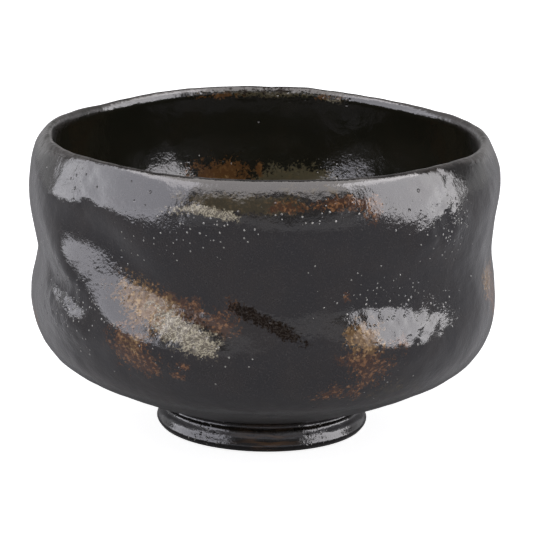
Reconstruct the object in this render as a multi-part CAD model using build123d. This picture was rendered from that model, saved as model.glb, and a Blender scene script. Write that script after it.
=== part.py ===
from build123d import *
from math import cos, exp, radians, sin
import os

# A matcha bowl: one clay vessel with a hand-dented wall, on a clay foot ring that was set on with slip
# and turned on the wheel, under a thick black glaze. Millimetres, +Z up. The origin is the centre of
# the foot ring, on the surface that the bowl stands on. Angles run anticlockwise from +X seen from
# above, so the front of the bowl is at -90 degrees.

# ---- Glazed outline of the outside: a radius and a height for each place, measured over the glaze ----
bowl_height = 77.8  # table to the crest of the lip
lip_radius = 55.3  # axis to the crest of the lip
lip_roll_width = 2.9  # from the crest out to where the lip rolls into the shoulder
lip_roll_drop = 2.9
shoulder_radius = 61.0
shoulder_height = 64.0
waist_radius = 59.6
waist_height = 47.0
belly_radius = 60.4
belly_height = 35.5
turn_radius = 55.0  # where the wall turns in under the belly
turn_height = 21.4
turn_slope = 60  # degrees from level, of the wall there
underside_radius = 46.3  # half way along the underside
underside_height = 15.7
underside_slope = 30
neck_radius = 25.4  # crease between the underside and the foot ring
neck_slope = 15  # the underside leaves the crease this steeply

# ---- Clay and glaze ----
wall_thickness = 5.0  # clay alone
lip_edge_width = 1.5  # from the crest in to where the lip has turned down
lip_edge_drop = 1.6
lip_throat_width = 1.4  # and below that the inside begins to widen again
lip_throat_drop = 3.8
glaze_thickness = 0.7  # on the wall and the floor, inside and outside
base_glaze_thickness = 0.5  # thinner inside the foot ring

# ---- Floor, inside, over the glaze ----
floor_radius = 29.0  # where the floor begins to rise
floor_height = 15.2
pool_radius = 12.0  # flat bottom of the shallow tea pool in the middle of the floor
pool_height = 13.6

# ---- Foot ring ----
foot_height = 7.4  # table to the seat under the floor
foot_radius = 27.5  # widest place, over the glaze
foot_widest_height = 1.9
foot_waist_radius = 26.3  # the foot leans in above its widest place
foot_waist_height = 6.0
bare_edge_radius = 26.6  # where the glaze stops, over the glaze
bare_edge_slope = 50  # the foot turns under there
bare_height = 0.6
pad_outer_radius = 24.6  # the bare ring of clay that the bowl stands on
pad_inner_radius = 20.4
well_radius = 18.4  # inside of the foot ring, at its seat
well_bare_height = 1.2  # the glaze in there stops this far above the table
well_glaze_corner = 1.0  # the glaze rounds the corner under the floor
slip_thickness = 0.4

# ---- Hand shaping: (angle, height, length, width, fall, lift) ----
# A ridge lifts the wall, and a groove has a negative lift and presses it in. Length and width are half
# sizes, and fall is how many degrees the line drops as the eye follows it to the right.
ridges = [
    (-142, 49.5, 12, 6.5, 35, 2.2),
    (-127, 40.5, 14, 6.0, 28, 1.7),
    (-108, 34, 17, 6.0, 10, 1.4),
    (-141, 37.5, 13, 5.5, 5, 1.6),
    (-56, 35, 18, 5.5, 11, 1.4),
    (-50, 62.5, 10, 5.0, 0, 0.8),
    (40, 47, 24, 7.5, 24, 1.1),
    (72, 58, 18, 7.0, 28, 0.8),
    (103, 42, 22, 7.0, 22, 1.2),
    (150, 52, 22, 7.5, 25, 1.0),
    (176, 74, 22, 4.0, 0, 0.8),
]
grooves = [
    (-138, 60.5, 11, 5.0, 12, -1.2),
    (-141, 73, 16, 5.0, 0, -1.2),
    (-127, 58, 14, 6.0, 38, -1.5),
    (-111, 47.5, 18, 6.0, 18, -1.3),
    (-140, 43, 11, 4.5, 20, -1.5),
    (-88, 58, 24, 8.0, 6, -0.6),
    (-56, 45.5, 21, 6.0, 12, -1.2),
    (-52, 55, 20, 6.0, 35, -0.9),
    (0, 56, 17, 10.0, 8, -2.1),
    (4, 36, 22, 8.0, 20, -0.5),
    (55, 52, 22, 7.0, 24, -1.0),
    (88, 50, 18, 7.0, 24, -0.8),
    (125, 47, 22, 7.0, 24, -1.0),
    (-176, 47, 14, 7.0, 8, -1.0),
    (119, 50.5, 7, 4.5, 0, -1.7),
    (67, 50.5, 6, 4.5, 0, -1.7),
]
shaping_starts = 4.5  # the underside is round up to this far above the foot ring
shaping_grows = 12.0  # and the hand shaping is full this much higher
inside_follows = 0.75  # share of each ridge and groove that shows on the inside
lip_share = 0.15  # and the part of the inside outline, from the crest, over which it falls to that

# ---- Waves of the lip: (waves round the lip, angle of a crest, height) ----
lip_waves = [(2, 100, 0.35), (3, -150, 0.3), (5, 95, 0.25), (7, 120, 0.15)]
lip_rise = 0.6  # one more low rise, at the front
lip_rise_angle = -88
lip_rise_spread = 22  # degrees to each side

# ---- How finely the surfaces are drawn ----
points_round = 56
rings_outside = 23
rings_inside = 21
rings_foot = 6
lip_crowding = 1.3  # above 1 the rings stand closer together towards the lip


def blend(start, end, value):
    """0 below start, 1 above end, and smooth in between."""
    share = min(1.0, max(0.0, (value - start) / (end - start)))
    return share * share * (3 - 2 * share)


def level_turned(slope):
    """Direction in an outline's plane that climbs outwards at this slope."""
    return (cos(radians(slope)), sin(radians(slope)))


def hand_lift(angle, height):
    """How far the potter's hands moved the wall outwards at one place."""
    lift_here = 0.0
    for mark_angle, mark_height, length, width, fall, lift in ridges + grooves:
        turned = (angle - mark_angle + 180) % 360 - 180
        across = radians(turned) * belly_radius
        up = height - mark_height
        along = across * cos(radians(fall)) - up * sin(radians(fall))
        off = across * sin(radians(fall)) + up * cos(radians(fall))
        lift_here += lift * exp(-((along / length) ** 2) - (off / width) ** 2)
    low = foot_height + shaping_starts
    return lift_here * blend(low, low + shaping_grows, height)


def lip_lift(angle, height):
    """How far the lip's waves raise a place near the lip."""
    wave = sum(size * cos(radians(count * (angle - crest))) for count, crest, size in lip_waves)
    turned = (angle - lip_rise_angle + 180) % 360 - 180
    wave += lip_rise * exp(-((turned / lip_rise_spread) ** 2))
    return wave * blend(shoulder_height, bowl_height, height)


def ring(radius, height, follows=1.0):
    """Closed curve round the axis at one place of an outline, with the hand shaping in it.

    All rings share the same places round the axis, which keeps the surfaces through them plain.
    """
    places_round = [step / points_round for step in range(points_round + 1)]
    points = []
    for share in places_round[:-1]:
        angle = 360 * share
        reach = radius + follows * hand_lift(angle, height)
        rise = height + lip_lift(angle, height)
        points.append((reach * cos(radians(angle)), reach * sin(radians(angle)), rise))
    return Wire([Edge.make_spline(points, periodic=True, parameters=places_round)])


def evenly(count):
    """Places along an outline, from 0 at its start to 1 at its end."""
    return [step / (count - 1) for step in range(count)]


def crowded(count):
    """The same, but closer together near the start."""
    return [place**lip_crowding for place in evenly(count)]


def rings_along(outline, places, inset=0.0, inside=False):
    """Rings at places along an outline, each moved into the clay by inset, square to the outline.

    The first ring moves level, so that it stays on its own plane. On the inside the lip's crest has all
    of the hand shaping, and the wall below keeps only its share of it.
    """
    rings = []
    for share in places:
        place = outline @ share
        direction = outline % share
        follows = 1 - (1 - inside_follows) * blend(0, lip_share, share) if inside else 1.0
        rings.append(ring(place.X - inset * direction.Y, place.Y + inset * direction.X, follows))
    return rings


def skin(rings, ruled=False):
    """The surface through a row of rings: smooth, or straight from ring to ring."""
    return Shell.make_loft(rings, ruled=ruled)


def disc(edge, *holes):
    """The flat surface inside a level ring."""
    return Face(edge, list(holes))


def closed(*skins):
    """One solid from all of the surfaces that bound it."""
    return Solid(Shell([face for part in skins for face in part.faces()]))


# ---- Outlines over the glaze, with the radius in X and the height in Y ----
full_wall = glaze_thickness + wall_thickness + glaze_thickness
seat_height = foot_height - slip_thickness
turn_out = full_wall * sin(radians(turn_slope))
turn_up = full_wall * cos(radians(turn_slope))
underside_out = full_wall * sin(radians(underside_slope))
underside_up = full_wall * cos(radians(underside_slope))

foot_line = Spline(
    (bare_edge_radius, bare_height),
    (foot_radius, foot_widest_height),
    (foot_waist_radius, foot_waist_height),
    (neck_radius, seat_height),
    tangents=[level_turned(bare_edge_slope), (0, 1)],
    tangent_scalars=(1, 1),
)
outside_line = Spline(
    (neck_radius, foot_height),
    (underside_radius, underside_height),
    (turn_radius, turn_height),
    (belly_radius, belly_height),
    (waist_radius, waist_height),
    (shoulder_radius, shoulder_height),
    (lip_radius + lip_roll_width, bowl_height - lip_roll_drop),
    (lip_radius, bowl_height),
    tangents=[level_turned(neck_slope), (-1, 0)],
    tangent_scalars=(1, 1),
)
inside_line = Spline(
    (lip_radius, bowl_height),
    (lip_radius - lip_edge_width, bowl_height - lip_edge_drop),
    (lip_radius - lip_throat_width, bowl_height - lip_throat_drop),
    (shoulder_radius - full_wall, shoulder_height),
    (waist_radius - full_wall, waist_height),
    (belly_radius - full_wall, belly_height),
    (turn_radius - turn_out, turn_height + turn_up),
    (underside_radius - underside_out, underside_height + underside_up),
    (floor_radius, floor_height),
    (pool_radius, pool_height),
    tangents=[(-1, 0), (-1, 0)],
    tangent_scalars=(1, 1),
)

# ---- Surfaces that neighbouring pieces share ----
foot_places = evenly(rings_foot)
outside_places = [1 - place for place in reversed(crowded(rings_outside))]
inside_places = crowded(rings_inside)
glazed_foot = rings_along(foot_line, foot_places)
clay_foot = rings_along(foot_line, foot_places, glaze_thickness)
glazed_outside = rings_along(outside_line, outside_places)
clay_outside = rings_along(outside_line, outside_places, glaze_thickness)
glazed_inside = rings_along(inside_line, inside_places, inside=True)
clay_inside = rings_along(inside_line, inside_places, glaze_thickness, inside=True)

# The seat under the floor is flat, and both clay walls meet in one ring under the glaze of the lip.
clay_outside[0] = ring(neck_radius - glaze_thickness, foot_height)
clay_inside[0] = clay_outside[-1]

glazed_wall = skin(glazed_outside)
clay_wall = skin(clay_outside)
glazed_hollow = skin(glazed_inside)
clay_hollow = skin(clay_inside)
clay_foot_side = skin(clay_foot)

# The well is the hollow inside the foot ring. Its side tapers from the pad in to the seat.
well_taper = (pad_inner_radius - well_radius) / seat_height
well_bare_radius = pad_inner_radius - well_taper * well_bare_height
well_glaze_radius = well_radius - base_glaze_thickness
well_glaze_height = foot_height - base_glaze_thickness
well_seat = ring(well_radius, seat_height)
well_top = ring(well_radius, foot_height)
well_bare = ring(well_bare_radius, well_bare_height)
well_side = skin([well_bare, well_seat], ruled=True)
well_glaze = [
    well_bare,
    ring(well_bare_radius - base_glaze_thickness, well_bare_height),
    ring(well_glaze_radius, well_glaze_height - well_glaze_corner),
    ring(well_glaze_radius - well_glaze_corner, well_glaze_height),
]
pad_outer = ring(pad_outer_radius, 0)
pad_inner = ring(pad_inner_radius, 0)
slip_outer_edge = skin([clay_foot[-1], clay_outside[0]], ruled=True)
slip_inner_edge = skin([well_seat, well_top], ruled=True)

# ---- Clay ----
clay_bowl = closed(
    clay_wall,
    clay_hollow,
    disc(clay_outside[0]),
    disc(clay_inside[-1]),
)
foot_ring = closed(
    disc(clay_foot[-1], well_seat),
    clay_foot_side,
    skin([clay_foot[0], pad_outer], ruled=True),
    disc(pad_outer, pad_inner),
    skin([pad_inner, well_bare], ruled=True),
    well_side,
)
slip_seam = closed(
    disc(clay_foot[-1], well_seat),
    disc(clay_outside[0], well_top),
    slip_outer_edge,
    slip_inner_edge,
)

# ---- Glaze ----
outside_glaze = closed(
    glazed_wall,
    skin([glazed_outside[-1], clay_outside[-1]], ruled=True),
    clay_wall,
    slip_outer_edge,
    clay_foot_side,
    skin([clay_foot[0], glazed_foot[0]], ruled=True),
    skin(glazed_foot),
    skin([glazed_foot[-1], glazed_outside[0]], ruled=True),
)
inside_glaze = closed(
    glazed_hollow,
    disc(glazed_inside[-1]),
    clay_hollow,
    disc(clay_inside[-1]),
    skin([glazed_inside[0], clay_inside[0]], ruled=True),
)
base_glaze = closed(
    disc(well_top),
    slip_inner_edge,
    well_side,
    skin(well_glaze, ruled=True),
    disc(well_glaze[-1]),
)

# ---- Files ----
pieces = {
    "clay_bowl": clay_bowl,
    "foot_ring": foot_ring,
    "slip_seam": slip_seam,
    "outside_glaze": outside_glaze,
    "inside_glaze": inside_glaze,
    "base_glaze": base_glaze,
}
os.makedirs("parts", exist_ok=True)
for name, piece in pieces.items():
    piece.label = name
    export_step(piece, "parts/" + name + ".step")
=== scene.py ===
import math

import bpy
import numpy as np
from mathutils import Matrix, Vector


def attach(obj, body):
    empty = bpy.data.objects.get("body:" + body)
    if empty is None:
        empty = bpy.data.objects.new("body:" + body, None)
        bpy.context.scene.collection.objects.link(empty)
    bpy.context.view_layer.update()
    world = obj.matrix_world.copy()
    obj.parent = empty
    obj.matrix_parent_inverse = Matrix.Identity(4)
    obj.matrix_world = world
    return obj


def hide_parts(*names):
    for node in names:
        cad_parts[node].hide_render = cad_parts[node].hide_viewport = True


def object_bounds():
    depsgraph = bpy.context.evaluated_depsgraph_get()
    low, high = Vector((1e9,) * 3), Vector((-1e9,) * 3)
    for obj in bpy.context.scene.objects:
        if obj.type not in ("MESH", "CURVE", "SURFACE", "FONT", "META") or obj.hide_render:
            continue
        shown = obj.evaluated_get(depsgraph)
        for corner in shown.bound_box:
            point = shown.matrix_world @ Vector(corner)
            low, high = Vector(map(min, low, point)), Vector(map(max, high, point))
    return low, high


# A black-glazed matcha bowl. Sizes are in millimetres here and become metres when a mesh is made.
# Angles run anticlockwise from +X seen from above, so the bowl's front is at -90 degrees.

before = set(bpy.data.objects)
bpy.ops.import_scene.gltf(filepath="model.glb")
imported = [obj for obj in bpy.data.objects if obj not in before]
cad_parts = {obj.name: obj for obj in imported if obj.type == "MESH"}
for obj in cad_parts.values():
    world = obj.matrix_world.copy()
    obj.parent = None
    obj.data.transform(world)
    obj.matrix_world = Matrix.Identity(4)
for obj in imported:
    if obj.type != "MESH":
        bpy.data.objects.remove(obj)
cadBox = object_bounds()
print("frame loaded")

millimetre = 0.001
nearlyNothing = 1e-9  # keeps a division from failing
boxLow, boxHigh = (np.array(corner) / millimetre for corner in cadBox)

bowlShape = {
    # outlines from the axis, as (radius, height)
    "footLine": [(26.6, 0.6), (27.45, 1.75), (26.85, 3.9), (26.2, 6.1), (25.4, 7.1)],
    "outsideLine": [(25.4, 7.4), (46.3, 15.7), (55.0, 21.4), (60.4, 35.5), (59.6, 47.0),
                    (61.0, 64.0), (58.2, 74.9), (55.3, 77.8)],
    "insideLine": [(55.3, 77.8), (53.8, 76.2), (53.9, 74.0), (54.6, 64.0), (53.2, 47.0), (54.0, 35.5),
                   (49.457, 24.6), (43.1, 21.243), (29.0, 15.2), (12.0, 13.6)],
    "footStart": 50,  # slope where the glaze stops, in degrees
    "outsideStart": 15,
    "crest": 77.8,
    "shoulder": 64.0,
    "beltRadius": 60.4,  # where the marks' angles are turned into lengths
    "shapingLow": 11.9,  # the hand marks fade in between these heights
    "shapingHigh": 23.9,
    "insideFollows": 0.75,  # how much of each hand mark shows inside
    "lipShare": 0.15,  # the part of the inside line in which that sets in
    "floorCentre": 0.4,  # radius of the last ring in the middle of the floor
    "columns": 512,
    "footRows": 22,
    "outsideRows": 120,
    "insideRows": 120,
    "floorRows": 10,
}

# angle, height, half length, half width, fall to the right in degrees, lift
handMarks = [
    (-142, 49.5, 12, 6.5, 35, 2.2),
    (-127, 40.5, 14, 6.0, 28, 1.7),
    (-108, 34, 17, 6.0, 10, 1.4),
    (-141, 37.5, 13, 5.5, 5, 1.6),
    (-56, 35, 18, 5.5, 11, 1.4),
    (-50, 62.5, 10, 5.0, 0, 0.8),
    (40, 47, 24, 7.5, 24, 1.1),
    (72, 58, 18, 7.0, 28, 0.8),
    (103, 42, 22, 7.0, 22, 1.2),
    (150, 52, 22, 7.5, 25, 1.0),
    (176, 74, 22, 4.0, 0, 0.8),
    (-138, 60.5, 11, 5.0, 12, -1.2),
    (-141, 73, 16, 5.0, 0, -1.2),
    (-127, 58, 14, 6.0, 38, -1.5),
    (-111, 47.5, 18, 6.0, 18, -1.3),
    (-140, 43, 11, 4.5, 20, -1.5),
    (-88, 58, 24, 8.0, 6, -0.6),
    (-56, 45.5, 21, 6.0, 12, -1.2),
    (-52, 55, 20, 6.0, 35, -0.9),
    (0, 56, 17, 10.0, 8, -2.1),
    (4, 36, 22, 8.0, 20, -0.5),
    (55, 52, 22, 7.0, 24, -1.0),
    (88, 50, 18, 7.0, 24, -0.8),
    (125, 47, 22, 7.0, 24, -1.0),
    (-176, 47, 14, 7.0, 8, -1.0),
    (119, 50.5, 7, 4.5, 0, -1.7),
    (67, 50.5, 6, 4.5, 0, -1.7),
]

lipShape = {
    "waves": [(2, 100, 0.35), (3, -150, 0.3), (5, 95, 0.25), (7, 120, 0.15)],  # count, crest, height
    "rise": (-88, 22, 0.6),  # angle, spread, height
}

# thick and thin places of the glaze, in its surface only
glazeSurface = {
    "thickness": 0.66,
    "backEvery": 6,  # the hidden back of a coat keeps one row in this many
    "lumps": [(0.10, 11, 3), (0.13, 5.5, 4), (0.05, 2.7, 5)],  # swellings, facets, peel: height, pitch, seed
    "coarseLumps": (2.1, 9),  # pitch, seed
    "sunk": 0.28,  # how deep the glaze's mean surface lies under the bowl's outline
    "fade": (0.5, 4),  # the unevenness sets in between these heights
    # the lists below have the same columns as the hand marks
    "outsideSwells": [
        (-55, 40.6, 11, 2.6, 8, 0.32),
        (-51, 43.2, 2.2, 1.2, 35, -0.12),
        (-45, 42.0, 2.6, 1.1, -20, -0.14),
        (-58, 38.6, 1.6, 1.0, -40, 0.10),
        (-62, 43.5, 2.0, 1.0, 30, -0.10),
        (-146, 41.0, 9, 4.2, 15, 0.62),
        (-138.5, 40.3, 7.5, 3.6, 15, 0.60),
        (-112, 40.5, 9, 3.2, 20, 0.25),
        (-47, 64.5, 2.4, 1.3, 30, -0.12),
        (-55, 62.5, 2.2, 1.2, 10, 0.12),
    ],
    "coarsePlaces": [
        (-55, 42, 13, 5, 8, 0.34),
        (-142, 42, 10, 7, 10, 0.42),
        (-47, 65, 9, 5, 0, 0.30),
        (-42, 70, 5, 8, 0, 0.26),
        (-139, 70, 5, 8, 0, 0.20),
        (-110, 40, 9, 5, 18, 0.16),
    ],
    "insideSwells": [
        (67, 53.8, 6, 2.6, 0, 0.30),
        (76, 53.5, 4, 3.0, 0, 0.20),
    ],
}


# smoothStep: 0 below start, 1 above end, and 3 s^2 - 2 s^3 of the share s in between
def smoothStep(start, end, value):
    share = np.clip((value - start) / (end - start), 0, 1)
    return share * share * (3 - 2 * share)


# slopeOf: the unit step (cos, sin) in this direction of the outline
def slopeOf(degrees):
    return (math.cos(math.radians(degrees)), math.sin(math.radians(degrees)))


# turnFrom: how far an angle lies past another, from -180 to 180 degrees
def turnFrom(start, angle):
    return (angle - start + 180) % 360 - 180


# curveThrough: the C2 cubic through the points, with s the chord length so far, in Hermite form
# p = h00 p0 + h10 d m0 + h01 p1 + h11 d m1; the slopes m solve the usual tridiagonal system
def curveThrough(points, startSlope, endSlope, count):
    points = np.array(points, float)
    steps = np.linalg.norm(np.diff(points, axis=0), axis=1)
    knots = np.concatenate([[0], np.cumsum(steps)])
    size = len(points)
    system = np.eye(size)
    wanted = np.zeros((size, 2))
    wanted[0] = startSlope
    wanted[-1] = endSlope
    inner = np.arange(1, size - 1)
    system[inner, inner - 1] = steps[1:]
    system[inner, inner] = 2 * (steps[:-1] + steps[1:])
    system[inner, inner + 1] = steps[:-1]
    chords = np.diff(points, axis=0) / steps[:, None]
    wanted[inner] = 3 * (steps[1:, None] * chords[:-1] + steps[:-1, None] * chords[1:])
    slopes = np.linalg.solve(system, wanted)
    place = np.linspace(0, knots[-1], count)
    part = np.clip(np.searchsorted(knots, place, side="right") - 1, 0, size - 2)
    d = steps[part][:, None]
    t = (place - knots[part])[:, None] / d
    return ((2 * t**3 - 3 * t**2 + 1) * points[part] + (t**3 - 2 * t**2 + t) * d * slopes[part]
            + (3 * t**2 - 2 * t**3) * points[part + 1] + (t**3 - t**2) * d * slopes[part + 1])


# bloom: strength * exp(-(along / length)^2 - (off / width)^2) round a place on the wall, where along and off
# are the lengths along the belt and up the wall, turned by the mark's fall
def bloom(angle, height, mark):
    markAngle, markHeight, length, width, fall, strength = mark
    across = np.radians(turnFrom(markAngle, angle)) * bowlShape["beltRadius"]
    up = height - markHeight
    tilt = math.radians(fall)
    along = across * math.cos(tilt) - up * math.sin(tilt)
    off = across * math.sin(tilt) + up * math.cos(tilt)
    return strength * np.exp(-((along / length) ** 2) - (off / width) ** 2)


# handLift: the sum of the marks' blooms, faded out low down
def handLift(angle, height, marks):
    total = sum(bloom(angle, height, mark) for mark in marks)
    return total * smoothStep(bowlShape["shapingLow"], bowlShape["shapingHigh"], height)


# lipLift: sum of size * cos(count * (angle - crest)) and one rise of height * exp(-(turned / spread)^2),
# faded out from the lip down to the shoulder
def lipLift(angle, height):
    wave = sum(size * np.cos(np.radians(count * (angle - crest))) for count, crest, size in lipShape["waves"])
    riseAngle, spread, rise = lipShape["rise"]
    wave = wave + rise * np.exp(-((turnFrom(riseAngle, angle) / spread) ** 2))
    return wave * smoothStep(bowlShape["shoulder"], bowlShape["crest"], height)


latticeSize = 64
latticeShift = 1000.0


# lumps: value noise from -1 to 1, random numbers on a lattice of this pitch joined by smoothstep
def lumps(places, pitch, seed):
    lattice = np.random.default_rng(seed).uniform(-1, 1, (latticeSize,) * 3)
    spot = places / pitch + latticeShift
    low = np.floor(spot).astype(int)
    t = spot - low
    t = t * t * (3 - 2 * t)
    total = np.zeros(places.shape[:-1])
    for corner in np.ndindex(2, 2, 2):
        weight = np.prod(np.where(corner, t, 1 - t), axis=-1)
        index = (low + np.array(corner)) % latticeSize
        total += weight * lattice[index[..., 0], index[..., 1], index[..., 2]]
    return total


# turned: (radius cos turn, radius sin turn, height) for every row of an outline and every turn in radians
def turned(radius, height, turn):
    return np.stack([radius * np.cos(turn), radius * np.sin(turn), height + 0 * turn], axis=-1)


# gridNormals: cross product of the steps round and the steps along, by central differences, at unit length
def gridNormals(grid, closedRows=False):
    around = np.roll(grid, -1, axis=1) - np.roll(grid, 1, axis=1)
    along = np.roll(grid, -1, axis=0) - np.roll(grid, 1, axis=0) if closedRows else np.gradient(grid, axis=0)
    normal = np.cross(around, along)
    return normal / np.maximum(np.linalg.norm(normal, axis=-1, keepdims=True), nearlyNothing)


# bowlSkin: one surface from the glaze edge at the foot, up the outside, over the lip and down to the floor.
# The outline is carried round the axis with radius + follows * hand lift and height + lip lift, and then
# moved along its normals by (swellings, facets and peel + marks * coarse lumps - sunk) * fade
def bowlSkin(shape, surface):
    foot = curveThrough(shape["footLine"], slopeOf(shape["footStart"]), (0, 1), shape["footRows"])
    outside = curveThrough(shape["outsideLine"], slopeOf(shape["outsideStart"]), (-1, 0),
                           shape["outsideRows"])
    inside = curveThrough(shape["insideLine"], (-1, 0), (-1, 0), shape["insideRows"])
    floorRadius = np.linspace(inside[-1, 0], shape["floorCentre"], shape["floorRows"])
    floor = np.stack([floorRadius, np.full(len(floorRadius), inside[-1, 1])], axis=1)
    line = np.concatenate([foot, outside, inside[1:], floor[1:]])
    crestRow = len(foot) + len(outside) - 1

    share = np.linspace(0, 1, len(inside))[1:]
    follows = 1 - (1 - shape["insideFollows"]) * smoothStep(0, shape["lipShare"], share)
    follows = np.concatenate([np.ones(crestRow + 1), follows, np.full(len(floor) - 1, follows[-1])])

    angle = (np.arange(shape["columns"]) * 360 / shape["columns"])[None, :]
    height = line[:, 1:2]
    radius = line[:, :1] + follows[:, None] * handLift(angle, height, handMarks)
    grid = turned(radius, height + lipLift(angle, height), np.radians(angle))

    uneven = sum(size * lumps(grid, pitch, seed) for size, pitch, seed in surface["lumps"])
    coarse = handLift(angle, height[:crestRow], surface["coarsePlaces"])
    uneven[:crestRow] += handLift(angle, height[:crestRow], surface["outsideSwells"])
    uneven[:crestRow] += coarse * lumps(grid[:crestRow], *surface["coarseLumps"])
    uneven[crestRow:] -= handLift(angle, height[crestRow:], surface["insideSwells"])
    fade = smoothStep(*surface["fade"], height)
    grid += gridNormals(grid) * ((uneven - surface["sunk"]) * fade)[..., None]
    return grid, crestRow


# ringMesh: joins a grid of rows and columns into quads, each point with its neighbours on the next row and
# in the next column; the rows may close on themselves or end in poles, at the mean of the first and last row
def ringMesh(name, grid, normals, closedRows=False, poles=False):
    rows, columns = grid.shape[:2]
    grid = np.clip(grid, boxLow, boxHigh)
    points = grid.reshape(-1, 3)
    normals = normals.reshape(-1, 3)
    row = np.arange(rows if closedRows else rows - 1)[:, None]
    column = np.arange(columns)[None, :]
    nextRow = (row + 1) % rows
    nextColumn = (column + 1) % columns
    corners = [row * columns + column, row * columns + nextColumn,
               nextRow * columns + nextColumn, nextRow * columns + column]
    faces = np.stack(corners, axis=-1).reshape(-1, 4).tolist()
    if poles:
        points = np.concatenate([points, [grid[0].mean(axis=0), grid[-1].mean(axis=0)]])
        normals = np.concatenate([normals, [(0, 0, -1), (0, 0, 1)]])
        here = np.arange(columns)
        beside = (here + 1) % columns
        lastRow = (rows - 1) * columns
        pole = np.full(columns, rows * columns)
        faces += np.stack([pole, beside, here], axis=-1).tolist()
        faces += np.stack([pole + 1, lastRow + here, lastRow + beside], axis=-1).tolist()
    mesh = bpy.data.meshes.new(name)
    mesh.from_pydata((points * millimetre).tolist(), [], faces)
    mesh.polygons.foreach_set("use_smooth", np.ones(len(mesh.polygons), bool))
    mesh.normals_split_custom_set_from_vertices(normals.tolist())
    mesh.update()
    piece = bpy.data.objects.new(name, mesh)
    bpy.context.scene.collection.objects.link(piece)
    return piece


skin, crestRow = bowlSkin(bowlShape, glazeSurface)
skinNormals = gridNormals(skin)
print("bowl surface worked out")


# coat: a stretch of the skin with its back, skin - normal * thickness, closed at its ends or in poles
def coat(name, rows, poles=False):
    every = glazeSurface["backEvery"]
    face = skin[rows]
    normal = skinNormals[rows]
    back = (face - normal * glazeSurface["thickness"])[::every][::-1]
    backNormal = -normal[::every][::-1]
    if poles:
        return ringMesh(name, np.concatenate([back, face]), np.concatenate([backNormal, normal]), poles=True)
    return ringMesh(name, np.concatenate([face, back]), np.concatenate([normal, backNormal]), closedRows=True)


outsideGlaze = coat("outside_glaze_skin", slice(0, crestRow + 1))
insideGlaze = coat("inside_glaze_skin", slice(crestRow, None), poles=True)
print("glaze coats made")


# lathe: points evenly spaced on an outline (radius, height), turned round the axis and sunk along their
# normals by wobble * (1 + lumps) / 2; an outline that isn't closed ends in poles
def lathe(name, shape):
    outline = np.array(shape["outline"], float)
    if shape["closed"]:
        outline = np.concatenate([outline, outline[:1]])
    lengths = np.linalg.norm(np.diff(outline, axis=0), axis=1)
    total = np.concatenate([[0], np.cumsum(lengths)])
    place = np.linspace(0, total[-1], int(total[-1] / shape["spacing"]) + 2)
    if shape["closed"]:
        place = place[:-1]
    radius = np.interp(place, total, outline[:, 0])[:, None]
    height = np.interp(place, total, outline[:, 1])[:, None]
    grid = turned(radius, height, np.arange(shape["columns"]) * 2 * math.pi / shape["columns"])
    normal = gridNormals(grid, shape["closed"])
    grid -= normal * (shape["wobble"] * (1 + lumps(grid, *shape["lumps"])) / 2)[..., None]
    return ringMesh(name, grid, normal, closedRows=shape["closed"], poles=not shape["closed"])


footClay = {
    "outline": [(20.55, 0.0), (24.3, 0.0), (24.62, 0.1), (25.75, 1.0), (26.5, 2.1), (25.75, 4.9),
                (24.9, 6.95), (18.45, 6.95), (20.3, 0.15)],
    "closed": True,
    "spacing": 0.35,
    "columns": 320,
    "wobble": 0.06,
    "lumps": (1.7, 8),  # pitch, seed
}
footRing = lathe("foot_ring_clay", footClay)

wellGlaze = {
    "outline": [(0.3, 6.9), (16.2, 6.9), (16.9, 6.75), (17.5, 6.4), (17.85, 5.9), (19.5, 1.45), (19.7, 1.25),
                (20.0, 1.25), (18.42, 7.35), (0.3, 7.35)],
    "closed": False,
    "spacing": 0.35,
    "columns": 320,
    "wobble": 0.05,
    "lumps": (1.7, 8),
}
baseGlaze = lathe("base_glaze_skin", wellGlaze)
print("foot ring made")

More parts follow.
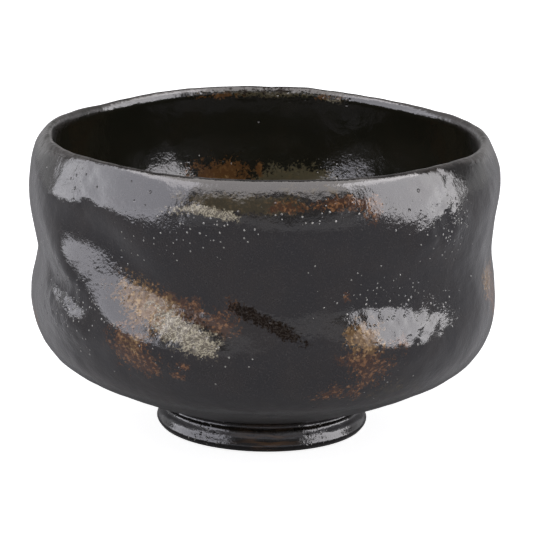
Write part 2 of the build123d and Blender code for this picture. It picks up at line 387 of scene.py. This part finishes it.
# the marks in the glaze: angle, height, half length, half width, fall, strength
glazeMarks = {
    "olive": [
        (-99, 72.9, 12, 1.8, 2, 1.4), (-84, 72.4, 7, 1.8, 0, 0.9), (-106, 41, 5, 2.5, 20, 0.8),
        (-57, 24, 12, 4, 10, 0.5), (-76, 76, 14, 1.5, 0, 0.5), (110, 72.5, 16, 2.0, 0, 1.2),
        (38, 71.5, 10, 2.0, 0, 1.0), (170, 30, 10, 4, 10, 0.7),
    ],
    "rust": [
        (-118, 46, 6, 4, 20, 1.2), (-108, 45, 8, 3.5, 22, 1.0), (-99, 42.5, 4, 2.5, 25, 0.6),
        (-122, 35, 5.3, 5.6, 0, 1.3), (-116, 31, 4, 3, 20, 0.9), (-109.5, 29.5, 1.5, 1.4, 0, 0.9),
        (-108, 32.3, 1.5, 1.2, 0, 0.8), (-67, 35.5, 5, 4, 0, 0.9), (-64, 30, 7, 4.5, 0, 0.65),
        (-57, 37, 4, 3, 20, 0.5), (-71, 25, 8, 3, 0, 0.5), (-84, 72.3, 6, 1.5, 0, 0.8),
        (-72, 72.7, 7, 1.6, 0, 1.0), (-64.5, 70.5, 2.2, 3.0, 0, 1.3), (-96, 47.2, 4.0, 1.8, 30, 0.9),
        (-70, 49.5, 1.5, 1.5, 0, 0.8), (-16, 43, 6, 6, 0, 1.1), (-13, 37, 3, 4, 0, 0.8),
        (92, 72, 9, 1.8, 0, 1.1), (150, 44, 8, 5, 20, 1.0), (158, 35, 6, 4, 10, 0.9),
        (63, 34, 7, 5, 15, 1.0), (28, 71, 7, 1.6, 0, 0.9), (-168, 31, 6, 4, 0, 0.7),
    ],
    "gold": [
        (-119.5, 46.3, 9, 4.3, 22, 1.1), (-113, 43, 6, 3.5, 22, 0.7), (-121, 36.5, 4, 3.5, 0, 0.6),
        (-19, 45.5, 4, 4, 0, 1.2), (-66.5, 39.3, 5.0, 3.8, 5, 1.3), (-84, 73, 4, 1.0, 0, 0.3),
        (152, 47, 4, 3, 20, 0.9), (66, 38, 4, 3, 10, 0.9),
    ],
    # cream: pale glaze patches, lightened further as a painted highlight
    "creamAndHighlight": [
        (-109, 40.3, 6.5, 3.2, 18, 0.95), (-104, 38.2, 4.5, 2.8, 10, 1.15), (-114, 44, 6, 3.0, 20, 0.4),
        (-110, 70.4, 5, 1.0, -8, 0.95), (-103, 70.8, 5, 1.0, 10, 1.1), (-98, 69.8, 2.5, 1.0, 12, 0.9),
        (104, 70, 8, 1.0, 6, 1.1), (145, 40, 5, 3, 20, 0.9),
    ],
    "streak": [
        (-94, 46.2, 5.0, 1.6, 28, 1.2), (-86, 42.2, 6.0, 1.6, 28, 1.3), (100, 40, 9, 1.8, 24, 1.2),
        (12, 33, 8, 1.6, 20, 1.0), (90, 77.2, 15, 1.2, 0, 0.6),
    ],
    # specks: where beads stand thicker, each with a painted glint
    "specks": [
        (-104, 66, 10, 3.6, 5, 0.8), (-112, 62, 8, 4, 10, 0.35), (-44, 62, 7, 4, 20, 1.2),
        (-38, 67, 4, 6, 0, 0.8), (-45, 42.5, 6, 5, 10, 1.0), (-62, 50, 16, 4, 12, 0.5),
        (-55, 46, 12, 4, 5, 0.7), (-63, 31, 6, 5, 0, 0.5), (-110, 38, 14, 6, 15, 0.5),
        (-140, 41, 9, 6, 10, 1.0), (-125, 56, 6, 7, 40, 0.5), (100, 62, 16, 6, 5, 1.0),
        (152, 50, 14, 8, 15, 0.7), (60, 45, 14, 7, 10, 0.7), (10, 60, 12, 7, 10, 0.7),
        (-172, 60, 12, 6, 5, 0.8), (-122, 4, 9, 3, 0, 1.2), (-58, 4, 8, 3, 0, 1.2),
        (-76, 71.5, 14, 2.5, 0, 0.9),
    ],
    "grit": [
        (-145, 42, 10, 7, 10, 1.3), (-38, 66, 4, 10, 0, 1.0), (-44, 45, 10, 6, 10, 1.0),
        (-128, 55, 5, 8, 40, 0.6), (-108, 39, 9, 6, 15, 0.5), (-142, 72, 3, 6, 0, 0.6),
        (-60, 43, 8, 4, 10, 0.6), (-52, 67.5, 11, 3.5, 10, 1.2), (-120, 66, 12, 3, 12, 0.6),
        (88, 77, 20, 1.6, 0, 1.2), (-122, 3, 9, 2, 0, 0.8), (-58, 3, 8, 2, 0, 0.8),
    ],
    "foot": [(-86, 3.4, 15, 2.2, 0, 1.2)],
}
insideMarks = {
    "olive": [
        (-100, 60, 14, 5, 10, 0.7), (-150, 45, 10, 5, 10, 0.7), (77, 51.5, 9, 5.0, 0, 1.4),
        (89, 51, 6, 4.5, 0, 1.0), (90, 76.3, 20, 0.9, 0, 1.0),
    ],
    "rust": [
        (-75, 52, 9, 5, 15, 1.0), (-20, 48, 8, 5, 10, 0.8), (104.5, 51.5, 8.5, 5.4, 0, 1.9),
        (92, 55.5, 0.9, 2.0, 0, 1.0), (104, 76, 8, 0.9, 0, 0.8), (72, 76, 6, 0.9, 0, 0.7),
    ],
    "gold": [(102, 53, 4, 1.5, 10, 0.5)],
    "creamAndHighlight": [(71, 75.4, 3, 0.8, 0, 0.8)],
    "streak": [(90, 77, 15, 1.4, 0, 0.6)],
    "specks": [(117, 54, 7, 4, 0, 1.0), (70, 54, 8, 4, 0, 1.0), (100, 55, 6, 3, 0, 0.4)],
    "grit": [(119, 53, 7, 5, 0, 0.6), (67, 53, 8, 5, 0, 1.3), (88, 76.8, 20, 2, 0, 1.2)],
    "foot": [],
}
strongestMark = 1.3
lipWearAndSheenReach = {
    # where the wear, and its painted sheen, reach deeper: angle, spread along the lip, depth
    "deeper": [(172, 36, 2.9), (8, 36, 2.7), (-168, 20, 1.2), (-12, 20, 1.2), (125, 22, 0.8)],
    "starts": 0.5,  # depths under the crest where the wear and painted sheen start and where they are full
    "full": 0.2,
    "fullShare": 0.6,  # how much of the deeper places is fully worn
}


def storeMark(piece, name, values):
    layer = piece.data.attributes.new(name, "FLOAT", "POINT")
    layer.data.foreach_set("value", values.astype(np.float32))


# markGlaze: each mark at each vertex is the sum of its blooms, from 0 to the strongest; the worn lip, which
# also carries a painted sheen, goes from 0 to 1 between two heights under the crest
def markGlaze(piece, marks):
    places = np.zeros(len(piece.data.vertices) * 3, np.float32)
    piece.data.vertices.foreach_get("co", places)
    places = places.reshape(-1, 3) / millimetre
    angle = np.degrees(np.arctan2(places[:, 1], places[:, 0]))
    nowhere = np.zeros(len(angle))
    for name, spots in marks.items():
        amount = sum((bloom(angle, places[:, 2], spot) for spot in spots), nowhere)
        storeMark(piece, name, np.clip(amount, 0, strongestMark))
    crest = bowlShape["crest"]
    deep = sum(bloom(angle, crest, (turn, crest, spread, 1, 0, depth))
               for turn, spread, depth in lipWearAndSheenReach["deeper"])
    level = places[:, 2] - lipLift(angle, np.full(len(angle), crest))
    start = crest - lipWearAndSheenReach["starts"] - deep
    storeMark(piece, "lip", smoothStep(start, crest - lipWearAndSheenReach["full"] - lipWearAndSheenReach["fullShare"] * deep, level))


markGlaze(outsideGlaze, glazeMarks)
markGlaze(insideGlaze, insideMarks)
print("marks laid out")


def newMaterial(name):
    material = bpy.data.materials.new(name)
    material.use_nodes = True
    return material, material.node_tree, material.node_tree.nodes["Principled BSDF"]


# add: one node, with its settings, and its inputs by name or number, each a link or a plain value
def add(tree, kind, inputs=None, **settings):
    node = tree.nodes.new(kind)
    for key, value in settings.items():
        setattr(node, key, value)
    for key, value in (inputs or {}).items():
        if isinstance(value, bpy.types.NodeSocket):
            tree.links.new(value, node.inputs[key])
        else:
            node.inputs[key].default_value = value
    return node


def maths(tree, operation, *values):
    return add(tree, "ShaderNodeMath", dict(enumerate(values)), operation=operation).outputs[0]


# noise: size in millimetres, detail, roughness and distortion
def noise(tree, place, size, detail, rough, distort=0.0):
    made = add(tree, "ShaderNodeTexNoise", {"Vector": place, "Scale": 1 / (size * millimetre),
                                            "Detail": detail, "Roughness": rough, "Distortion": distort})
    return made.outputs["Fac"]


def cells(tree, place, size, **settings):
    return add(tree, "ShaderNodeTexVoronoi", {"Vector": place, "Scale": 1 / (size * millimetre)}, **settings)


# ramp: from start to end while the value goes between its two limits
def ramp(tree, value, limits, start=0.0, end=1.0, kind="SMOOTHSTEP"):
    made = add(tree, "ShaderNodeMapRange", {"Value": value, "From Min": limits[0], "From Max": limits[1],
                                            "To Min": start, "To Max": end}, interpolation_type=kind)
    return made.outputs[0]


def mixColour(tree, share, a, b):
    a, b = (colour if isinstance(colour, bpy.types.NodeSocket) else (*colour, 1) for colour in (a, b))
    return add(tree, "ShaderNodeMix", {0: share, 6: a, 7: b}, data_type="RGBA").outputs[2]


def stored(tree, name):
    return add(tree, "ShaderNodeAttribute", attribute_name=name).outputs["Fac"]


def connectBump(tree, shader, height, depth):
    bump = add(tree, "ShaderNodeBump", {"Height": height, "Strength": 1.0, "Distance": depth * millimetre})
    tree.links.new(bump.outputs[0], shader.inputs["Normal"])


# wallPlace: the place of the skin nearest to this angle and height on the outside, in metres
def wallPlace(angle, height):
    column = round(angle % 360 / 360 * bowlShape["columns"]) % bowlShape["columns"]
    outer = skin[:crestRow + 1, column]
    return tuple(outer[np.argmin(np.abs(outer[:, 2] - height))] * millimetre)


# Heights are in millimetres. A Noise entry is size, detail, roughness; a From entry is the pair of limits
# between which its effect sets in.
blackGlaze = {
    "black": (0.0105, 0.0092, 0.0080),
    "brownBlack": (0.0165, 0.0130, 0.0100),
    "dust": (0.034, 0.030, 0.027),
    # the pale bead colour is a painted glint on each bead
    "beadAndGlint": (0.42, 0.41, 0.38),
    # the lighter colour of the worn lip is a painted sheen, standing in for its reflection
    "lip": (0.064, 0.058, 0.056),
    "foot": (0.11, 0.055, 0.022),
    "olive": (0.042, 0.033, 0.016),
    "rust": (0.055, 0.021, 0.007),
    "rustLight": (0.40, 0.19, 0.075),
    "gold": (0.150, 0.080, 0.026),
    "goldLight": (0.43, 0.275, 0.125),
    # pale glaze patches, lightened further as a painted highlight; their light threads are partly painted
    # glints
    "creamAndHighlight": (0.135, 0.113, 0.080),
    "creamLightAndGlint": (0.49, 0.44, 0.33),
    "streak": (0.010, 0.005, 0.002),
    "streakLight": (0.060, 0.050, 0.042),
    "brownFrom": (0.4, 0.7),
    "dustFrom": (0.52, 0.74),
    # gloss
    "tint": (0.93, 0.92, 1.0),  # the gloss is a little blue
    "bend": 1.54,  # index of refraction
    "rough": 0.11,
    "roughSpread": (0.8, 1.25),
    "roughFrom": (0.3, 0.7),
    "roughEdge": 0.42,  # the gloss softens where the wall turns away
    "edgeFrom": (0.6, 0.92),
    "patchRough": 0.34,  # the coloured patches shine less sharply
    "gloss": 0.5,
    "streakGloss": 0.10,  # burnt and matt, the streaks keep less gloss
    # orange peel, coarse to fine
    "broadNoise": (9.0, 3.0, 0.5),
    "rippleNoise": (2.4, 2.0, 0.5),
    "peelNoise": (0.75, 2.0, 0.55),
    "fineNoise": (0.42, 2.0, 0.6),
    "ripple": 0.100,
    "rippleGrit": 0.050,  # added where the glaze is gritty
    "peel": 0.032,
    "peelGrit": 0.092,
    "fine": 0.024,
    # beads: a few cells of a fine pattern stand up, each of its own size, with a pale colour painted on as a
    # glint
    "beadCell": 0.8,
    "beadSizes": (0.16, 0.50),
    "beadFrom": (0.991, 0.997),
    "beadSpecks": 0.60,  # how much more likely they are in the speckled places
    "everywhere": 0.0,  # raises their chance away from those places
    "paintedGlintCover": 0.8,
    "paintedGlintCoverFrom": (0.1, 0.5),
    "beads": 0.14,
    # sparse pinholes
    "pitCell": 13,
    "pitFrom": (0.018, 0.034),
    "pits": 0.25,
    # dings: small dents where the glaze is gritty, dark inside a highlight
    "dingCell": 1.5,
    "dingGrit": 0.45,
    "dingFrom": (1.0, 1.03),
    "dingShape": (0.05, 0.34),
    "dings": 0.16,
    # marks: how much of the surface they cover, how much of the light colour shows and in which pattern
    "paints": {
        "olive": (0.9, 0.10, "flecks", "olive", "goldLight"),
        "rust": (1.0, 0.6, "flecks", "rust", "rustLight"),
        "gold": (0.95, 1.0, "flecks", "gold", "goldLight"),
        # the cream paint is partly a painted highlight, and its threads are partly painted glints
        "creamAndHighlight": (0.95, 1.0, "threads", "creamAndHighlight", "creamLightAndGlint"),
        "streak": (1.0, 0.6, "threads", "streak", "streakLight"),
    },
    "fleckNoise": (1.0, 3.0, 0.65),
    "fleckFrom": (0.48, 0.66),
    "threadNoise": (1.0, 2.0, 0.6, 0.4),  # and distortion
    "threadFrom": (0.012, 0.06),
    "grainNoise": (0.7, 3.0, 0.65),
    "raggedNoise": (3.0, 4.0, 0.6),
    "tornByGrain": 2.4,
    "tornByRagged": 2.2,
    "tornFrom": (0.35, 0.75),
    "markFrom": (0.05, 0.3),
    # wear: how rough and crinkled each mark is
    "worn": {"creamAndHighlight": 1.0, "rust": 0.35, "gold": 0.8, "lip": 0.8},
    "wornFrom": (0.2, 1.0),
    "burnt": 3.5,  # the same for the streaks, which crinkle only
    "crinkleCell": 1.2,
    "crinkle": 0.16,
    "lipFrom": (0.3, 0.55),
    # throwing lines on the foot: noise pulled out round the axis
    "thrownNoise": (0.9, 1.0, 0.5),
    "thrownPull": (0.12, 0.12, 1.0),
    "thrownFrom": (0.45, 0.62),
    "thrown": 0.12,
    # place, radius, depth of the dimple round it
    "pinholes": [(wallPlace(-117.9, 73.5), 0.42, 0.0), (wallPlace(-118.6, 70.5), 0.26, 0.0),
                 (wallPlace(-51.4, 73.8), 0.5, 0.10)],
    "pinholeDepth": 0.3,
    "pinholeRim": 0.5,  # share of the radius where the hole is at its full depth
    "dimpleWidth": 4.5,  # in radii
}


# paintMarks: lays each mark over the colour where its stored strength, torn by two noises, is high enough;
# flecks are the high places of a noise, threads the lines where a noise crosses its middle value
def paintMarks(tree, place, look, colour, ragged):
    middle = maths(tree, "SUBTRACT", noise(tree, place, *look["threadNoise"]), 0.5)
    patterns = {
        "flecks": ramp(tree, noise(tree, place, *look["fleckNoise"]), look["fleckFrom"]),
        "threads": ramp(tree, maths(tree, "ABSOLUTE", middle), look["threadFrom"], 1.0, 0.0),
    }
    grain = noise(tree, place, *look["grainNoise"])
    evened = -(look["tornByGrain"] + look["tornByRagged"]) / 2  # the noises run round one half
    torn = maths(tree, "MULTIPLY_ADD", grain, look["tornByGrain"], evened)
    torn = maths(tree, "MULTIPLY_ADD", ragged, look["tornByRagged"], torn)
    for name, (cover, light, pattern, plainColour, lightColour) in look["paints"].items():
        shown = maths(tree, "MULTIPLY", patterns[pattern], light)
        paint = mixColour(tree, shown, look[plainColour], look[lightColour])
        amount = stored(tree, name)
        share = ramp(tree, maths(tree, "ADD", amount, torn), look["tornFrom"], 0.0, cover)
        share = maths(tree, "MULTIPLY", share, ramp(tree, amount, look["markFrom"]))
        colour = mixColour(tree, share, colour, paint)
    return colour, share  # the last share is the streak's


# pierce: the pinholes, each a hole painted dark as shade, and a shallow dimple round it where it has one
def pierce(tree, place, look, colour, height):
    for centre, radius, depth in look["pinholes"]:
        away = add(tree, "ShaderNodeVectorMath", {0: place, 1: centre}, operation="DISTANCE").outputs["Value"]
        rim = radius * millimetre
        hole = ramp(tree, away, (rim * look["pinholeRim"], rim), 1.0, 0.0)
        dimple = ramp(tree, away, (0.0, rim * look["dimpleWidth"]), depth, 0.0)
        dug = maths(tree, "MULTIPLY_ADD", hole, look["pinholeDepth"], dimple)
        height = maths(tree, "SUBTRACT", height, dug)
        # the hole takes the streak's dark colour as painted shade inside it
        colour = mixColour(tree, hole, colour, look["streak"])
    return colour, height


def makeBlackGlaze(name, look, marked=True):
    material, tree, shader = newMaterial(name)
    place = add(tree, "ShaderNodeTexCoord").outputs["Object"]
    broad = noise(tree, place, *look["broadNoise"])
    fine = noise(tree, place, *look["fineNoise"])
    grit = stored(tree, "grit") if marked else 0.0

    beadCells = cells(tree, place, look["beadCell"])
    chance = add(tree, "ShaderNodeSeparateColor", {0: beadCells.outputs["Color"]})
    beadSize = ramp(tree, chance.outputs[1], (0, 1), *look["beadSizes"], kind="LINEAR")
    likely = 0.0
    if marked:
        likely = maths(tree, "MULTIPLY_ADD", stored(tree, "specks"), look["beadSpecks"], look["everywhere"])
    chosen = ramp(tree, maths(tree, "ADD", chance.outputs[0], likely), look["beadFrom"])
    beadAndGlint = ramp(tree, beadCells.outputs["Distance"], (0.0, beadSize), 1.0, 0.0)
    beads = maths(tree, "MULTIPLY", beadAndGlint, chosen)
    pits = ramp(tree, cells(tree, place, look["pitCell"]).outputs["Distance"], look["pitFrom"], 1.0, 0.0)

    colour = mixColour(tree, ramp(tree, broad, look["brownFrom"]), look["black"], look["brownBlack"])
    colour = mixColour(tree, ramp(tree, fine, look["dustFrom"]), colour, look["dust"])
    # a pale colour on the beads: painted glints
    paintedGlintCover = ramp(tree, beads, look["paintedGlintCoverFrom"], 0.0, look["paintedGlintCover"])
    colour = mixColour(tree, paintedGlintCover, colour, look["beadAndGlint"])

    rippleHeight = maths(tree, "MULTIPLY_ADD", grit, look["rippleGrit"], look["ripple"])
    peelHeight = maths(tree, "MULTIPLY_ADD", grit, look["peelGrit"], look["peel"])
    height = maths(tree, "MULTIPLY", noise(tree, place, *look["rippleNoise"]), rippleHeight)
    height = maths(tree, "MULTIPLY_ADD", noise(tree, place, *look["peelNoise"]), peelHeight, height)
    height = maths(tree, "MULTIPLY_ADD", fine, look["fine"], height)
    height = maths(tree, "MULTIPLY_ADD", beads, look["beads"], height)
    height = maths(tree, "MULTIPLY_ADD", pits, -look["pits"], height)

    rough = ramp(tree, broad, look["roughFrom"], *(look["rough"] * share for share in look["roughSpread"]))
    facing = add(tree, "ShaderNodeLayerWeight", {"Blend": 0.5}).outputs["Facing"]
    rough = maths(tree, "MAXIMUM", rough, ramp(tree, facing, look["edgeFrom"], 0.0, look["roughEdge"]))

    if marked:
        dingCells = cells(tree, place, look["dingCell"])
        dingChance = add(tree, "ShaderNodeSeparateColor", {0: dingCells.outputs["Color"]}).outputs[0]
        dinged = ramp(tree, maths(tree, "MULTIPLY_ADD", grit, look["dingGrit"], dingChance), look["dingFrom"])
        dent = ramp(tree, dingCells.outputs["Distance"], look["dingShape"], 1.0, 0.0)
        height = maths(tree, "MULTIPLY_ADD", maths(tree, "MULTIPLY", dinged, dent), -look["dings"], height)

        ragged = noise(tree, place, *look["raggedNoise"])
        colour, streak = paintMarks(tree, place, look, colour, ragged)
        tree.links.new(ramp(tree, streak, (0.0, 1.0), look["gloss"], look["streakGloss"]),
                       shader.inputs["Specular IOR Level"])

        pulled = add(tree, "ShaderNodeVectorMath", {0: place, 1: look["thrownPull"]}, operation="MULTIPLY")
        thrown = noise(tree, pulled.outputs[0], *look["thrownNoise"])
        foot = stored(tree, "foot")
        lines = maths(tree, "MULTIPLY", ramp(tree, thrown, look["thrownFrom"]), foot)
        colour = mixColour(tree, lines, colour, look["foot"])
        height = maths(tree, "MULTIPLY_ADD", maths(tree, "MULTIPLY", thrown, foot), look["thrown"], height)

        colour, height = pierce(tree, place, look, colour, height)
        # painted sheen: the worn lip's lighter colour stands in for the reflection there
        lipCover = maths(tree, "MULTIPLY", stored(tree, "lip"), ramp(tree, ragged, look["lipFrom"]))
        colour = mixColour(tree, lipCover, colour, look["lip"])

        worn = 0.0
        for mark, weight in look["worn"].items():
            worn = maths(tree, "MAXIMUM", worn, maths(tree, "MULTIPLY", stored(tree, mark), weight))
        rough = maths(tree, "MAXIMUM", rough, ramp(tree, worn, look["wornFrom"], 0.0, look["patchRough"]))
        worn = maths(tree, "MAXIMUM", worn, maths(tree, "MULTIPLY", stored(tree, "streak"), look["burnt"]))
        crinkle = cells(tree, place, look["crinkleCell"], feature="SMOOTH_F1").outputs["Distance"]
        height = maths(tree, "MULTIPLY_ADD", maths(tree, "MULTIPLY", crinkle, worn), look["crinkle"], height)

    tree.links.new(colour, shader.inputs["Base Color"])
    tree.links.new(rough, shader.inputs["Roughness"])
    connectBump(tree, shader, height, 1.0)
    shader.inputs["Specular Tint"].default_value = (*look["tint"], 1)
    shader.inputs["IOR"].default_value = look["bend"]
    return material


# inside, the glaze lies thicker and its marks are more amber
insideGlazeLook = dict(
    blackGlaze,
    black=(0.0165, 0.0158, 0.0110),
    brownBlack=(0.018, 0.0160, 0.0105),
    dust=(0.015, 0.014, 0.010),
    rust=(0.130, 0.062, 0.024),
    rustLight=(0.26, 0.13, 0.05),
    olive=(0.125, 0.108, 0.066),
    everywhere=-0.02,
    pinholes=[],
)
outsideMaterial = makeBlackGlaze("black_glaze_outside", blackGlaze)
insideMaterial = makeBlackGlaze("black_glaze_inside", insideGlazeLook)
baseMaterial = makeBlackGlaze("black_glaze_base", blackGlaze, marked=False)

bareClay = {
    "dark": (0.075, 0.048, 0.034),
    "light": (0.20, 0.135, 0.09),
    "stainNoise": (5.0, 4.0, 0.6),
    "lightFrom": (0.35, 0.7),
    "speck": (0.33, 0.27, 0.21),
    "speckNoise": (0.9, 1.0, 0.5),
    "speckFrom": (0.66, 0.72),
    "speckCover": 0.6,
    "grainNoise": (0.5, 3.0, 0.6),
    "grain": 0.10,
    "rough": 0.85,
}


def makeBareClay(name, look):
    material, tree, shader = newMaterial(name)
    place = add(tree, "ShaderNodeTexCoord").outputs["Object"]
    stain = ramp(tree, noise(tree, place, *look["stainNoise"]), look["lightFrom"])
    specks = ramp(tree, noise(tree, place, *look["speckNoise"]), look["speckFrom"], 0.0, look["speckCover"])
    colour = mixColour(tree, specks, mixColour(tree, stain, look["dark"], look["light"]), look["speck"])
    tree.links.new(colour, shader.inputs["Base Color"])
    connectBump(tree, shader, noise(tree, place, *look["grainNoise"]), look["grain"])
    shader.inputs["Roughness"].default_value = look["rough"]
    return material


clayMaterial = makeBareClay("fired_clay", bareClay)


def dress(piece, material):
    piece.data.materials.clear()
    piece.data.materials.append(material)


for piece, material, node, slot in ((outsideGlaze, outsideMaterial, "outside_glaze", "outside_glaze"),
                                    (insideGlaze, insideMaterial, "inside_glaze", "inside_glaze"),
                                    (baseGlaze, baseMaterial, "base_glaze", "base_glaze"),
                                    (footRing, clayMaterial, "foot_ring", "foot_clay")):
    dress(piece, material)
    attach(piece, "root")
    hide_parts(node)
for node in ("clay_bowl", "slip_seam"):
    dress(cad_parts[node], clayMaterial)
print("materials made")

studioFloor = {
    "halfWidth": 6.0,  # in metres, as is everything in the studio
    "level": -0.00005,
    "colour": (0.715, 0.71, 0.745, 1),
    "seen": 0.885,  # added for the camera, so that the floor reads as white
    "mirrored": 0.05,  # added for gloss and glass
}


def makeFloor(look):
    mesh = bpy.data.meshes.new("studio_floor")
    corners = [(x * look["halfWidth"], y * look["halfWidth"], look["level"])
               for x, y in ((-1, -1), (1, -1), (1, 1), (-1, 1))]
    mesh.from_pydata(corners, [], [(0, 1, 2, 3)])
    floor = bpy.data.objects.new("studio_floor", mesh)
    bpy.context.scene.collection.objects.link(floor)
    material = bpy.data.materials.new("studio_white")
    material.use_nodes = True
    tree = material.node_tree
    tree.nodes.clear()
    path = add(tree, "ShaderNodeLightPath")
    mirrored = maths(tree, "MAXIMUM", path.outputs["Is Glossy Ray"], path.outputs["Is Transmission Ray"])
    seen = maths(tree, "MAXIMUM", maths(tree, "MULTIPLY", path.outputs["Is Camera Ray"], look["seen"]),
                 maths(tree, "MULTIPLY", mirrored, look["mirrored"]))
    plain = add(tree, "ShaderNodeBsdfDiffuse", {"Color": look["colour"]})
    glow = add(tree, "ShaderNodeEmission", {"Color": (1, 1, 1, 1), "Strength": seen})
    both = add(tree, "ShaderNodeAddShader", {0: plain.outputs[0], 1: glow.outputs[0]})
    # from below the floor is clear, so the foot can be looked at
    below = add(tree, "ShaderNodeNewGeometry").outputs["Backfacing"]
    clear = add(tree, "ShaderNodeBsdfTransparent")
    whole = add(tree, "ShaderNodeMixShader", {0: below, 1: both.outputs[0], 2: clear.outputs[0]})
    add(tree, "ShaderNodeOutputMaterial", {"Surface": whole.outputs[0]})
    mesh.materials.append(material)


makeFloor(studioFloor)

studioAir = {
    "plain": 0.62,  # light that colours are seen by
    "behind": 0.78,  # gloss: what stands behind the bowl
    "behindFrom": (-0.3, 0.6),
    "room": 0.30,  # gloss: the dim room above the white backdrop
    "roomFrom": (0.12, 0.3),
}


def makeAir(look):
    world = bpy.data.worlds.new("white_studio")
    bpy.context.scene.world = world
    world.use_nodes = True
    tree = world.node_tree
    background = tree.nodes["Background"]
    path = add(tree, "ShaderNodeLightPath")
    direction = add(tree, "ShaderNodeSeparateXYZ", {0: add(tree, "ShaderNodeTexCoord").outputs["Generated"]})
    dim = ramp(tree, direction.outputs["Z"], look["roomFrom"])
    gloss = maths(tree, "MULTIPLY", path.outputs["Is Glossy Ray"], ramp(tree, dim, (0, 1), 1.0, look["room"]))
    behind = ramp(tree, direction.outputs["Y"], look["behindFrom"], 1.0, look["behind"])
    gloss = maths(tree, "MULTIPLY", gloss, behind)
    white = maths(tree, "MAXIMUM", path.outputs["Is Camera Ray"], path.outputs["Is Transmission Ray"])
    lit = maths(tree, "MULTIPLY", path.outputs["Is Diffuse Ray"], look["plain"])
    strength = maths(tree, "MAXIMUM", maths(tree, "MAXIMUM", white, gloss), lit)
    background.inputs["Color"].default_value = (1, 1, 1, 1)
    tree.links.new(strength, background.inputs["Strength"])


makeAir(studioAir)

# softboxes stand upright; azimuth is counted from the front to the right, and brightness 1 is white
softboxes = {  # azimuth, distance, width, bottom, top, brightness, colour
    "left_softbox": (-78, 1.0, 1.5, 0.1, 1.8, 3.9, (0.98, 0.98, 1.0)),
    "right_softbox": (78, 1.0, 1.04, 0.1, 1.8, 6.2, (1.0, 0.985, 0.95)),
}
ceilingLights = {  # centre, width, depth, brightness, whether it lights colours too, colour
    "gloss_bank": ((0, -0.62, 1.25), 2.4, 1.85, 4.0, False, (1.0, 0.955, 0.88)),
    "top_light": ((0, -0.35, 1.25), 0.9, 0.9, 2.8, True, (1.0, 1.0, 1.0)),
}


# areaLight: power for a brightness is brightness * pi * area
def areaLight(name, place, facing, width, height, brightness, seenByColours, colour):
    light = bpy.data.lights.new(name, "AREA")
    light.shape = "RECTANGLE"
    light.size = width
    light.size_y = height
    light.energy = brightness * math.pi * width * height
    light.color = colour
    lamp = bpy.data.objects.new(name, light)
    bpy.context.scene.collection.objects.link(lamp)
    lamp.location = place
    lamp.rotation_euler = (-Vector(facing)).to_track_quat("Z", "Y").to_euler()
    lamp.visible_diffuse = seenByColours
    lamp.visible_camera = False


for name, (azimuth, distance, width, bottom, top, brightness, colour) in softboxes.items():
    turn = math.radians(azimuth)
    outward = Vector((math.sin(turn), -math.cos(turn), 0))
    place = outward * distance + Vector((0, 0, (bottom + top) / 2))
    areaLight(name, place, -outward, width, top - bottom, brightness, False, colour)
for name, (place, width, depth, brightness, seenByColours, colour) in ceilingLights.items():
    areaLight(name, place, (0, 0, -1), width, depth, brightness, seenByColours, colour)

view = {
    "place": (0, -0.720, 0.235),
    "target": (0, 0, 0.042),
    "lens": 195.0,
    "sensor": 36,
    "roll": 1.1,
    "shift": 0.00375,
    "nearest": 0.01,
    "farthest": 20,
}


# makeCamera: looks from its place at the target, with its right turned to right * cos + up * sin of the roll
def makeCamera(look):
    camera = bpy.data.cameras.new("camera")
    camera.lens = look["lens"]
    camera.sensor_width = look["sensor"]
    camera.shift_x = look["shift"]
    camera.clip_start = look["nearest"]
    camera.clip_end = look["farthest"]
    rig = bpy.data.objects.new("camera", camera)
    bpy.context.scene.collection.objects.link(rig)
    place = Vector(look["place"])
    back = (place - Vector(look["target"])).normalized()
    right = Vector((0, 0, 1)).cross(back).normalized()
    up = back.cross(right)
    roll = math.radians(look["roll"])
    rolledRight = right * math.cos(roll) + up * math.sin(roll)
    rolledUp = back.cross(rolledRight)
    axes = Matrix((rolledRight, rolledUp, back)).transposed().to_4x4()
    rig.matrix_world = Matrix.Translation(place) @ axes
    bpy.context.scene.camera = rig


makeCamera(view)
bpy.context.scene.view_settings.view_transform = "Standard"

print("stage set")
